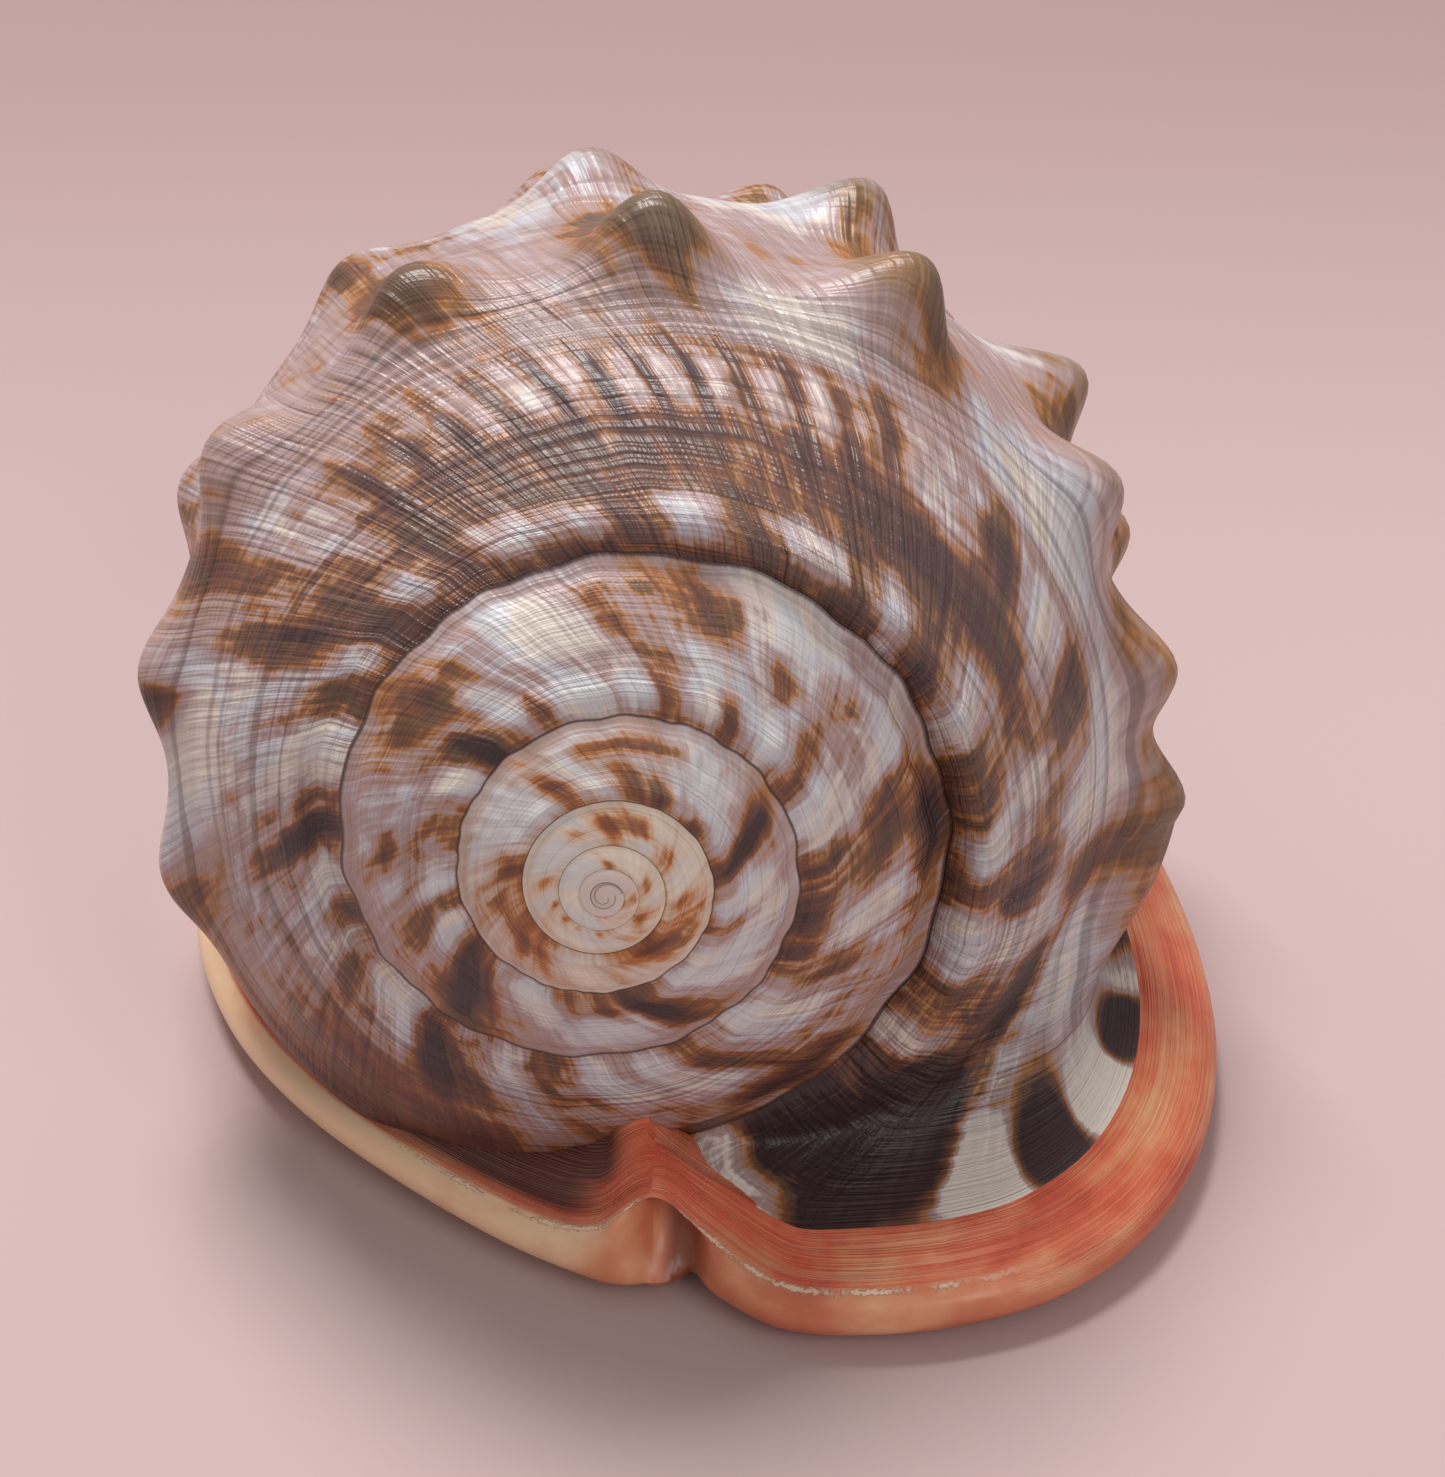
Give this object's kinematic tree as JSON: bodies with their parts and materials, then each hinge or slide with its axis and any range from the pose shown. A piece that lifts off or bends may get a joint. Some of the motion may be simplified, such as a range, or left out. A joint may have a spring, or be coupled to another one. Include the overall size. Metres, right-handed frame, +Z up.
{
  "type": "bullmouth helmet shell",
  "caption": "Large knobbed helmet shell with a low coiled spire, a flared thick lip and a broad shield, resting on its flat mouth side.",
  "frame": {"origin": "middle of the shell's bounding box, on the flat underside that it rests on", "axes": "+Z up, +X towards the outer lip, the spire at the -Y end and the canal at the +Y end"},
  "size_m": [0.1311, 0.163, 0.1104],
  "materials": {
    "shell": "semi-gloss natural shell: lilac-white and red-brown blotches above, orange to peach lip and shield"
  },
  "bodies": {
    "root": {"shell": "shell"}
  },
  "joints": []
}
